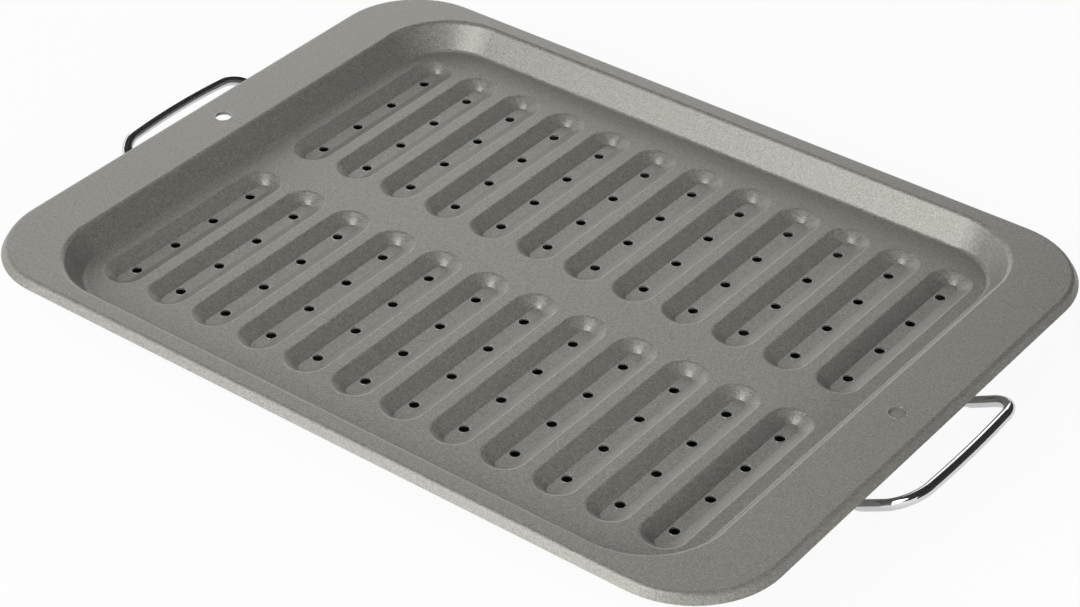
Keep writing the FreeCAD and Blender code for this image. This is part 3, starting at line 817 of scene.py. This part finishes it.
@dataclass(frozen=True)
class Lamp:
    """One soft light, aimed at the middle of the set, mirrored in it or not."""

    name: str
    place: Point
    width: float
    height: float
    power: float
    mirrored: bool = True
    colour: Colour = WHITE

    def build(self) -> None:
        """Hang the lamp and aim it at the origin."""
        data = bpy.data.lights.new(self.name, "AREA")
        data.shape = "RECTANGLE"
        data.size = self.width
        data.size_y = self.height
        data.energy = self.power
        data.color = self.colour
        lamp = bpy.data.objects.new(self.name, data)
        lamp.location = self.place
        lamp.rotation_euler = (-Vector(self.place)).to_track_quat("-Z", "Y").to_euler()
        lamp.visible_glossy = self.mirrored
        bpy.context.scene.collection.objects.link(lamp)


@dataclass(frozen=True)
class Flag:
    """A dark cloth that stands upright in an arc round the set, at a bearing in degrees from +X."""

    name: str
    bearing: float
    spread: float
    distance: float
    low: float
    high: float
    cloth: FlagCloth = FlagCloth("black_felt_finish")
    steps: int = 12

    def build(self) -> None:
        """Bend the flag round the set at its distance, unseen by the camera."""
        first = self.bearing - self.spread / 2.0
        points: list[Point] = []
        for step in range(self.steps + 1):
            angle = math.radians(first + self.spread * step / self.steps)
            across, along = self.distance * math.cos(angle), self.distance * math.sin(angle)
            points += [(across, along, self.low), (across, along, self.high)]
        faces = [(2 * n, 2 * n + 2, 2 * n + 3, 2 * n + 1) for n in range(self.steps)]
        flag = new_mesh_object(self.name, points, faces)
        flag.data.materials.append(self.cloth.material())
        flag.visible_camera = False


@dataclass
class Studio:
    """The white sweep, the lamps, the flags, the dark ceiling and the light of the room."""

    half_floor: float = 6.0
    floor_level: float = -0.0002
    room_strength: float = 0.95
    half_ceiling: float = 3.0
    ceiling_level: float = 2.0
    ceiling_cloth: FlagCloth = FlagCloth("ceiling_felt_finish", dark=0.05, light=0.07)
    lamps: tuple[Lamp, ...] = (
        Lamp("key_lamp", (-0.36, -1.35, 1.50), width=1.6, height=1.3, power=22.5),
        Lamp("front_lamp", (-0.55, -1.65, 0.60), width=1.2, height=0.8, power=7.0),
        Lamp("back_lamp", (-1.80, 1.80, 1.15), width=1.8, height=1.8, power=10.0),
        Lamp("right_fill", (1.25, -0.30, 0.50), width=1.0, height=0.5, power=8.5, mirrored=False),
    )
    flags: tuple[Flag, ...] = (
        Flag("right_flag", bearing=40.0, spread=120.0, distance=1.4, low=0.0, high=1.9),
        Flag("left_flag", bearing=206.0, spread=36.0, distance=1.5, low=0.6, high=2.0),
    )

    def build(self) -> None:
        """Set up the sweep, the lamps, the flags, the ceiling and the room."""
        half, level = self.half_floor, self.floor_level
        points = [(-half, -half, level), (half, -half, level), (half, half, level), (-half, half, level)]
        sweep = new_mesh_object("studio_floor", points, [(0, 1, 2, 3)])
        sweep.data.materials.append(StudioWhite("studio_white_finish").material())
        for lamp in self.lamps:
            lamp.build()
        for flag in self.flags:
            flag.build()
        self.hang_ceiling()
        self.light_room()

    def hang_ceiling(self) -> None:
        """Hang a dark ceiling over the set, unseen by the camera."""
        half, level = self.half_ceiling, self.ceiling_level
        points = [(-half, -half, level), (-half, half, level), (half, half, level), (half, -half, level)]
        flag = new_mesh_object("ceiling_flag", points, [(0, 1, 2, 3)])
        flag.data.materials.append(self.ceiling_cloth.material())
        flag.visible_camera = False

    def light_room(self) -> None:
        """Fill the room with even light, white wherever it is seen or mirrored."""
        world = bpy.data.worlds.new("studio_room")
        bpy.context.scene.world = world
        world.use_nodes = True
        graph = Graph(world.node_tree)
        path = graph.add("ShaderNodeLightPath")
        seen = graph.math("MAXIMUM", path.outputs["Is Camera Ray"], path.outputs["Is Glossy Ray"])
        seen = graph.math("MAXIMUM", seen, path.outputs["Is Transmission Ray"])
        strength = graph.math("MULTIPLY_ADD", seen, 1.0 - self.room_strength, self.room_strength)
        back = graph.add("ShaderNodeBackground", {"Color": opaque(WHITE), "Strength": strength})
        graph.add("ShaderNodeOutputWorld", {"Surface": back.outputs["Background"]})


@dataclass
class PhotoCamera:
    """The camera, at the photograph's angle and distance."""

    place: Point = (0.6571, -0.8477, 0.7820)
    look: Point = (-0.4967, 0.6430, -0.5830)
    focal_length: float = 96.81
    sensor: float = 36.0
    nearest: float = 0.01
    farthest: float = 50.0

    def build(self) -> None:
        """Stand the camera and make it the scene's."""
        data = bpy.data.cameras.new("photo_camera")
        data.lens = self.focal_length
        data.sensor_width = self.sensor
        data.sensor_fit = "HORIZONTAL"
        data.clip_start = self.nearest
        data.clip_end = self.farthest
        camera = bpy.data.objects.new("photo_camera", data)
        camera.location = self.place
        camera.rotation_euler = Vector(self.look).to_track_quat("-Z", "Y").to_euler()
        bpy.context.scene.collection.objects.link(camera)
        bpy.context.scene.camera = camera


def main() -> None:
    """Build the studio and every sub-assembly of the set, in order."""
    logging.basicConfig(level=logging.INFO, format="%(name)s: %(message)s")
    bpy.context.scene.view_settings.view_transform = "Standard"
    PhotoCamera().build()
    Studio().build()
    for assembly in (BroilTray(), DripPan(), WireHandles(), Rivets()):
        pieces = assembly.build()
        LOG.info("%s dressed", type(assembly).__name__)
        for piece in pieces:
            LOG.info("%s added, %d faces", piece.name, len(piece.data.polygons))


if __name__ == "__main__":
    main()
